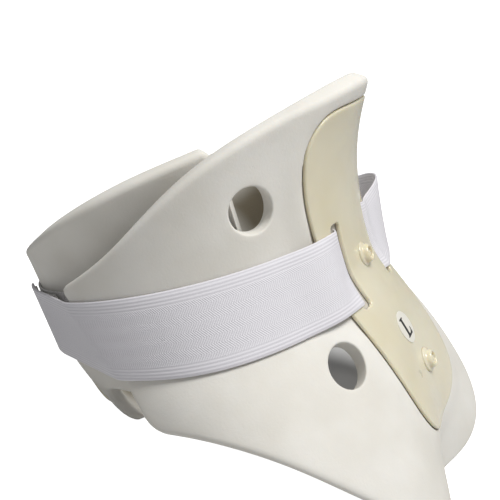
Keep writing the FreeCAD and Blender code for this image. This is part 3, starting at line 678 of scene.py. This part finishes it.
def front_plate_outline(step=1.2):
    half = curve_through([(0, 61.5), (12, 61.5), (23, 61.4), (30.5, 59.9), (35.6, 56.0), (38.7, 50.0),
                          (39.5, 42), (39.0, 28), (37.6, 14), (36.2, -6), (35.5, -28), (35.3, -50),
                          (34.8, -65), (33.2, -75), (29.0, -83.3), (22.0, -89.2), (12.0, -93.0), (0, -94)])
    ring = np.concatenate([half, (half * [-1, 1])[::-1][1:-1]])
    ring = front.plan(ring[:, 0], ring[:, 1])
    return resample(np.concatenate([ring, ring[:1]]), step)[:-1]


def slot_outline(side, step=1.0):
    centre, half_w, low, high, r = 23.0, 3.8, -26.5, 14.5, 1.8
    corners = [(half_w - r, high - r, 0), (-half_w + r, high - r, 90), (-half_w + r, low + r, 180),
               (half_w - r, low + r, 270)]
    ring = []
    for x, z, first in corners:
        for turn in np.radians(np.linspace(first, first + 90, 6)):
            ring.append((x + r * math.cos(turn), z + r * math.sin(turn)))
    ring = resample(np.array(ring + ring[:1]), step)[:-1]
    return front.plan((ring[:, 0] + centre) * side, ring[:, 1])


outline = front_outline()
plate_line = front_plate_outline()
vents = [vent(side * angle, height, VENT_RADIUS) for side in (1, -1) for angle, height in VENT_PLACES]
bed_lines = [inset(wound(plate_line, False), gap) for gap in (0.35, 0.8, 1.3, 1.8, 2.4)]


def groove_width(flat):
    """Width of the open groove round the plate: widest beside its head, narrow at its lower flanks."""
    height = flat[:, 1]
    head = smooth_step(-6, 14, height) * (1 - smooth_step(38, 52, height))
    return 0.45 + 1.0 * head


def foam_relief(flat):
    """The foam swells a little round the plate, which was pressed into it while hot."""
    gap = nearest(flat, [plate_line])
    out = ~inside(flat, [plate_line])
    height, width = flat[:, 1], groove_width(flat)
    swell = 1.9 * smooth_step(2, 24, height) + 0.9 * (1 - smooth_step(-36, -28, height))
    wall = smooth_step(width, width + 0.45, gap) * (1 - smooth_step(2.4, 16.0, gap))
    return np.where(out, swell * wall, 0.0)


def painted_groove_shade(flat):
    """Painted shade for the outer face: strongest in the plate's bed, fading out across the groove round it.
    """
    gap = nearest(flat, [plate_line])
    return np.where(inside(flat, [plate_line]), 1.0,
                    1 - smooth_step(groove_width(flat) - 0.1, groove_width(flat) + 0.35, gap)) * 0.4


slots = [slot_outline(side) for side in (1, -1)]
front_foam = slab("front_foam", on_shell(front), outline, vents, -FOAM, 0.0, 2.0, [2.6] + [0.9] * 4,
                  foam_skin, "front_half", creases=bed_lines, relief=foam_relief,
                  groove=painted_groove_shade)
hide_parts("front_foam_shell")

# ------------------------------------------------------------------ front plate
GATE_HEIGHT, GATE_RADIUS = -64.5, 1.6
gate_angle = math.degrees(math.asin(16.0 / float(front.radius(0.0, GATE_HEIGHT))))
gate_line = resample(vent(gate_angle, GATE_HEIGHT, GATE_RADIUS), 0.4)
front_plate = slab("front_stiffener", on_shell(front), plate_line, slots + [gate_line], PLATE_LOW,
                   PLATE_HIGH, 1.8, [0.95, 0.8, 0.8, 0.3], plate_skin, "front_half")
GATE_FLOOR = [(0.05, -0.75), (0.7, -0.7), (1.3, -0.55), (1.65, -0.3), (1.7, -1.6), (0.05, -1.6)]
gate_floor = lathe("gate_mark", GATE_FLOOR, front, gate_angle, GATE_HEIGHT, PLATE_HIGH, plate_skin,
                   "front_half", 32)
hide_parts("front_plate")
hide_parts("front_plate")

# ------------------------------------------------------------------ back foam shell and plate
def back_top(angle):
    """The back half's rim, cut down towards both of its ends."""
    near = 1 - smooth_step(BACK_NEAR, BACK_NEAR + 5.0, angle)
    return back.rim(angle) - END_DROP * (near + smooth_step(195.0, 235.0, angle))


def back_outline():
    angles = np.linspace(BACK_NEAR, BACK_FAR, 300)
    top = np.stack([angles * SPAN, back_top(angles)], -1)
    foot = np.stack([angles * SPAN, back.foot(angles)], -1)[::-1]
    sides = [np.stack([np.full(40, a * SPAN), np.linspace(back_top(a), back.foot(a), 40)], -1)
             for a in (BACK_FAR, BACK_NEAR)]
    return join([top, sides[0], foot, sides[1][::-1]], [6.0, 9.0, 9.0, 6.0], 1.4)


def back_plate_outline():
    wide, top, foot, r = 24.0, 36.0, -54.0, 14.0
    ring = []
    for x, z, first in ((wide - r, top - r, 0), (r - wide, top - r, 90), (r - wide, foot + r, 180),
                        (wide - r, foot + r, 270)):
        for turn in np.radians(np.linspace(first, first + 90, 14)):
            ring.append((x + r * math.cos(turn), z + r * math.sin(turn)))
    ring = resample(np.array(ring + ring[:1]), 1.2)[:-1]
    x, z = ring[:, 0], ring[:, 1]
    angle = 180 - np.degrees(np.arcsin(x / back.radius(180, z)))
    return np.stack([angle * SPAN, z], -1)


back_foam = slab("back_foam", on_shell(back), back_outline(), [], -FOAM, 0.0, 2.0, [2.6],
                 foam_skin, "back_half")
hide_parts("back_foam_shell")
back_plate = slab("back_stiffener", on_shell(back), back_plate_outline(), [], PLATE_LOW, PLATE_HIGH, 1.8,
                  [0.95], plate_skin, "back_half")
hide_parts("back_plate")

# ------------------------------------------------------------------ strap
FOLD_ANGLES = np.arange(60.0, STRAP_END + 0.01, 0.5)


def taut(rise):
    """Radius of the right run by angle, pulled straight from the wing's rear edge to the back."""
    share = rise / STRAP_WIDTH + 0.5
    height = strap_height(FOLD_ANGLES) + rise
    edge = rear_edge(height)
    half, middle = STRAP_WIDTH / 2, strap_height(FOLD_ANGLES)
    over_back = (back.radius(FOLD_ANGLES, middle - half) * (1 - share)
                 + back.radius(FOLD_ANGLES, middle + half) * share + TAUT_OVER_BACK)
    reach = np.where(FOLD_ANGLES <= edge + 0.3, strap_radius(np.minimum(FOLD_ANGLES, WING_CLEAR), rise),
                     over_back)
    flat = around(FOLD_ANGLES, reach, 0.0)[:, :2]
    hull = []
    for i, spot in enumerate(flat):
        while len(hull) > 1:
            a, b = flat[hull[-2]], flat[hull[-1]]
            if (b[0] - a[0]) * (spot[1] - a[1]) - (b[1] - a[1]) * (spot[0] - a[0]) >= 0:
                hull.pop()
            else:
                break
        hull.append(i)
    radius = reach.copy()
    for a, b in zip(hull, hull[1:]):
        turn = np.radians(FOLD_ANGLES[a:b + 1])
        t0, t1, r0, r1 = turn[0], turn[-1], reach[a], reach[b]
        radius[a:b + 1] = r0 * r1 * np.sin(t1 - t0) / (r0 * np.sin(turn - t0) + r1 * np.sin(t1 - turn))
    kernel = np.exp(-0.5 * (np.arange(-4, 5) / 1.6) ** 2)
    padded = np.pad(radius, 4, mode="edge")
    return np.convolve(padded, kernel / kernel.sum(), "valid")


TAUT_RISES = np.linspace(-STRAP_WIDTH / 2, STRAP_WIDTH / 2, 9)
taut_table = np.array([taut(rise) for rise in TAUT_RISES])


def right_strap_point(angle, rise, offset):
    rise = np.asarray(rise, float)
    if angle < FOLD_ANGLES[0]:
        return strap_point(angle, rise, offset)
    column = np.array([np.interp(angle, FOLD_ANGLES, row) for row in taut_table])
    radius = np.interp(rise, TAUT_RISES, column)
    loose = strap_radius(angle, rise)
    mix = smooth_step(60.0, 75.0, angle)
    return around(angle, loose * (1 - mix) + radius * mix + offset, strap_height(angle) + rise)


fine = np.arange(0.0, 30.0, 0.5)
right_run = ribbon("strap_right_run", right_strap_point,
                   np.concatenate([fine, np.arange(30.0, STRAP_END + 0.1, 0.75)]), STRAP_WIDTH, 1.3,
                   strap_skin, None)
left_run = ribbon("strap_left_run", strap_point,
                  -np.concatenate([fine[1:], np.arange(30.0, STRAP_END + 0.1, 0.75)]), STRAP_WIDTH, 1.3,
                  strap_skin, None)
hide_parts("right_strap", "strap_centre")
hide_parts("left_strap_front", "left_strap_rear")


def pad_point(low):
    def point(angle, rise, offset):
        height = strap_height(np.abs(angle)) + rise
        return around(angle, back.radius(np.abs(angle), height) + low + offset, height)
    return point


def tab_point(angle, rise, offset):
    return strap_point(angle, rise, offset - 1.45)


for side, side_name in ((1, "right"), (-1, "left")):
    pad = ribbon(f"loop_pad_{side_name}", pad_point(0.2), side * np.arange(124.0, 158.1, 1.0),
                 STRAP_WIDTH - 2, 1.2, loop_skin, "back_half")
    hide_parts(f"{side_name}_loop_pad")
    body = "right_strap_run" if side == 1 else "back_half"
    tab = ribbon(f"hook_tab_{side_name}", tab_point, side * np.arange(128.0, 152.1, 1.0),
                 STRAP_WIDTH - 3, 1.2, hook_skin, body)
    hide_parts(f"{side_name}_hook_tab")


def bend_at(point, before, after):
    """Start and end of a bend, in the row frame, from the strap's middle line at two angles."""
    return [to_row(point(angle, 0.0, 0.7)) for angle in (before, after)]


start, end = bend_at(right_strap_point, PIVOT_ANGLE - 1.5, PIVOT_ANGLE + 2.5)
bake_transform(right_run)
start, end = bend_at(strap_point, -HINGE_ANGLE + 5, -HINGE_ANGLE - 5)
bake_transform(left_run)

# ------------------------------------------------------------------ size label
def aside(x, height):
    """Angle of a point of the front shell that is seen from the front at x."""
    return math.degrees(math.asin(x / float(front.radius(0.0, height))))


LABEL_Z, LABEL_ANGLE, LABEL_R = -45.5, aside(5.0, -45.5), 7.5
turns = np.linspace(0, 2 * np.pi, 64, endpoint=False)
disc = front.plan(np.sin(math.radians(LABEL_ANGLE)) * front.radius(LABEL_ANGLE, LABEL_Z)
                  + LABEL_R * np.cos(turns), LABEL_Z + LABEL_R * np.sin(turns))
label = slab("label_disc", on_shell(front), disc, [], PLATE_HIGH + 0.02, PLATE_HIGH + 0.3, 1.0, [0.12],
             label_skin, "front_half")
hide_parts("size_label")
# a plain size letter with small serifs, as seen on the label
LETTER = [(-3.5, 4.7), (0.7, 4.7), (0.7, 4.1), (-0.4, 3.9), (-0.4, -3.5), (1.3, -3.5), (2.6, -2.9),
          (3.2, -1.4), (3.8, -1.4), (3.6, -4.5), (-3.5, -4.5), (-3.5, -3.9), (-2.5, -3.7), (-2.5, 3.9),
          (-3.5, 4.1)]
letter_line = resample(np.array(LETTER + LETTER[:1]), 0.4)[:-1]
letter_plan = front.plan(np.sin(math.radians(LABEL_ANGLE)) * front.radius(LABEL_ANGLE, LABEL_Z)
                         - letter_line[:, 0], LABEL_Z + letter_line[:, 1])
letter = slab("label_letter", on_shell(front), letter_plan, [], PLATE_HIGH + 0.25, PLATE_HIGH + 0.36, 0.6,
              [0.03], ink_skin, "front_half")
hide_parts("size_label")

# ------------------------------------------------------------------ rivets
BOSS = [(1.9, -0.9), (2.2, -0.6), (2.55, 0.3), (2.7, 2.6), (2.95, 3.3), (3.3, 3.6), (3.75, 3.45),
        (4.1, 2.9), (4.35, 2.0), (4.55, 1.3), (4.9, 0.95), (5.4, 0.8), (5.8, 0.55), (6.0, 0.15),
        (5.9, -0.5)]
PIN_TOP = [(1.95, -FOAM - 2.0), (1.95, 1.4), (1.85, 2.2), (1.5, 2.8), (0.9, 3.1), (0.35, 3.2)]
WASHER = [(1.6, 1.2), (2.0, 1.25), (6.2, 1.2), (6.7, 1.05), (7.0, 0.6), (6.7, 0.15), (6.2, 0.0),
          (2.0, -0.05), (1.6, 0.0)]


def notched(turns, radius, rise):
    """Three shallow grips round the top of a rivet pin."""
    return -0.22 * (np.cos(3 * turns) > 0.55) * (rise > 1.0) * (radius > 1.0)


for half_name, shell, angle, heights in (("front", front, 0.0, (-8.0, -65.0)),
                                         ("back", back, 180.0, (22.0, -34.0))):
    body = f"{half_name}_half"
    for i, height in enumerate(heights):
        boss = lathe(f"{half_name}_rivet_boss_{i}", BOSS, shell, angle, height, PLATE_HIGH + 0.25,
                     rivet_skin, body)
        pin = lathe(f"{half_name}_rivet_pin_{i}", PIN_TOP, shell, angle, height, PLATE_HIGH + 0.25,
                    rivet_skin, body, wobble=notched)
        washer = lathe(f"{half_name}_rivet_washer_{i}", WASHER, shell, angle, height, -FOAM - 1.5,
                       rivet_skin, body)
        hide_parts(f"{half_name}_rivet_bosses")
        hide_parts(f"{half_name}_rivet_pins")
        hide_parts(f"{half_name}_rivet_washers")

# ------------------------------------------------------------------ floor and light
SHADED_SPOT = (0.09, -0.03, 0.0)      # where the floor shows through the lower vent, in metres; the floor's painted glow is left off round it, so its own shade shows there
FLOOR_REACH, FLOOR_CORNERS = 40, ((-1, -1), (1, -1), (1, 1), (-1, 1))

floor_skin = plain_grained("floor", (0.60, 0.60, 0.60), (0.62, 0.62, 0.62), 0.95, 3.0)
floor_tree = floor_skin.node_tree
floor_shader = floor_tree.nodes["Principled BSDF"]
floor_shader.inputs["Specular IOR Level"].default_value = 0.0
spot_on_floor = add(floor_tree, "ShaderNodeTexCoord").outputs["Object"]
from_patch = add(floor_tree, "ShaderNodeVectorMath", [(0, spot_on_floor)], operation="SUBTRACT")
from_patch.inputs[1].default_value = SHADED_SPOT
away = add(floor_tree, "ShaderNodeVectorMath", [(0, from_patch.outputs["Vector"])], operation="LENGTH")
# painted light: a glow seen only by the camera, which covers the floor's cast shadow everywhere but round
# the shaded spot
glow = add(floor_tree, "ShaderNodeMapRange", [("Value", away.outputs["Value"])],
           From_Min=0.035, From_Max=0.085, To_Min=0.0, To_Max=1.0)
seen = add(floor_tree, "ShaderNodeLightPath").outputs["Is Camera Ray"]
floor_shader.inputs["Emission Color"].default_value = (1.0, 1.0, 1.0, 1)
floor_tree.links.new(floor_shader.inputs["Emission Strength"],
                     math_node(floor_tree, "MULTIPLY", glow.outputs[0], seen))
floor_mesh = bpy.data.meshes.new("floor")
floor_mesh.from_pydata([(x * FLOOR_REACH, y * FLOOR_REACH, 0) for x, y in FLOOR_CORNERS], [], [(0, 1, 2, 3)])
floor_mesh.materials.append(floor_skin)
floor = bpy.data.objects.new("floor", floor_mesh)
floor.location.z = -0.0005
bpy.context.scene.collection.objects.link(floor)


def area_light(name, spot, target, size, power, colour=(1, 1, 1)):
    data = bpy.data.lights.new(name, "AREA")
    data.shape, data.size, data.energy, data.color = "DISK", size, power, colour
    lamp = bpy.data.objects.new(name, data)
    bpy.context.scene.collection.objects.link(lamp)
    lamp.location = spot
    lamp.rotation_euler = (Vector(target) - Vector(spot)).to_track_quat("-Z", "Y").to_euler()


area_light("key", (-0.20, -0.60, 1.45), (0, -0.02, 0.09), 0.7, 21.0, (1.0, 0.99, 0.965))
world = bpy.data.worlds.new("studio")
world.use_nodes = True
world.node_tree.nodes["Background"].inputs["Color"].default_value = (1.0, 1.0, 1.0, 1)
world.node_tree.nodes["Background"].inputs["Strength"].default_value = 0.24
bpy.context.scene.world = world
bpy.context.scene.view_settings.view_transform = "Standard"
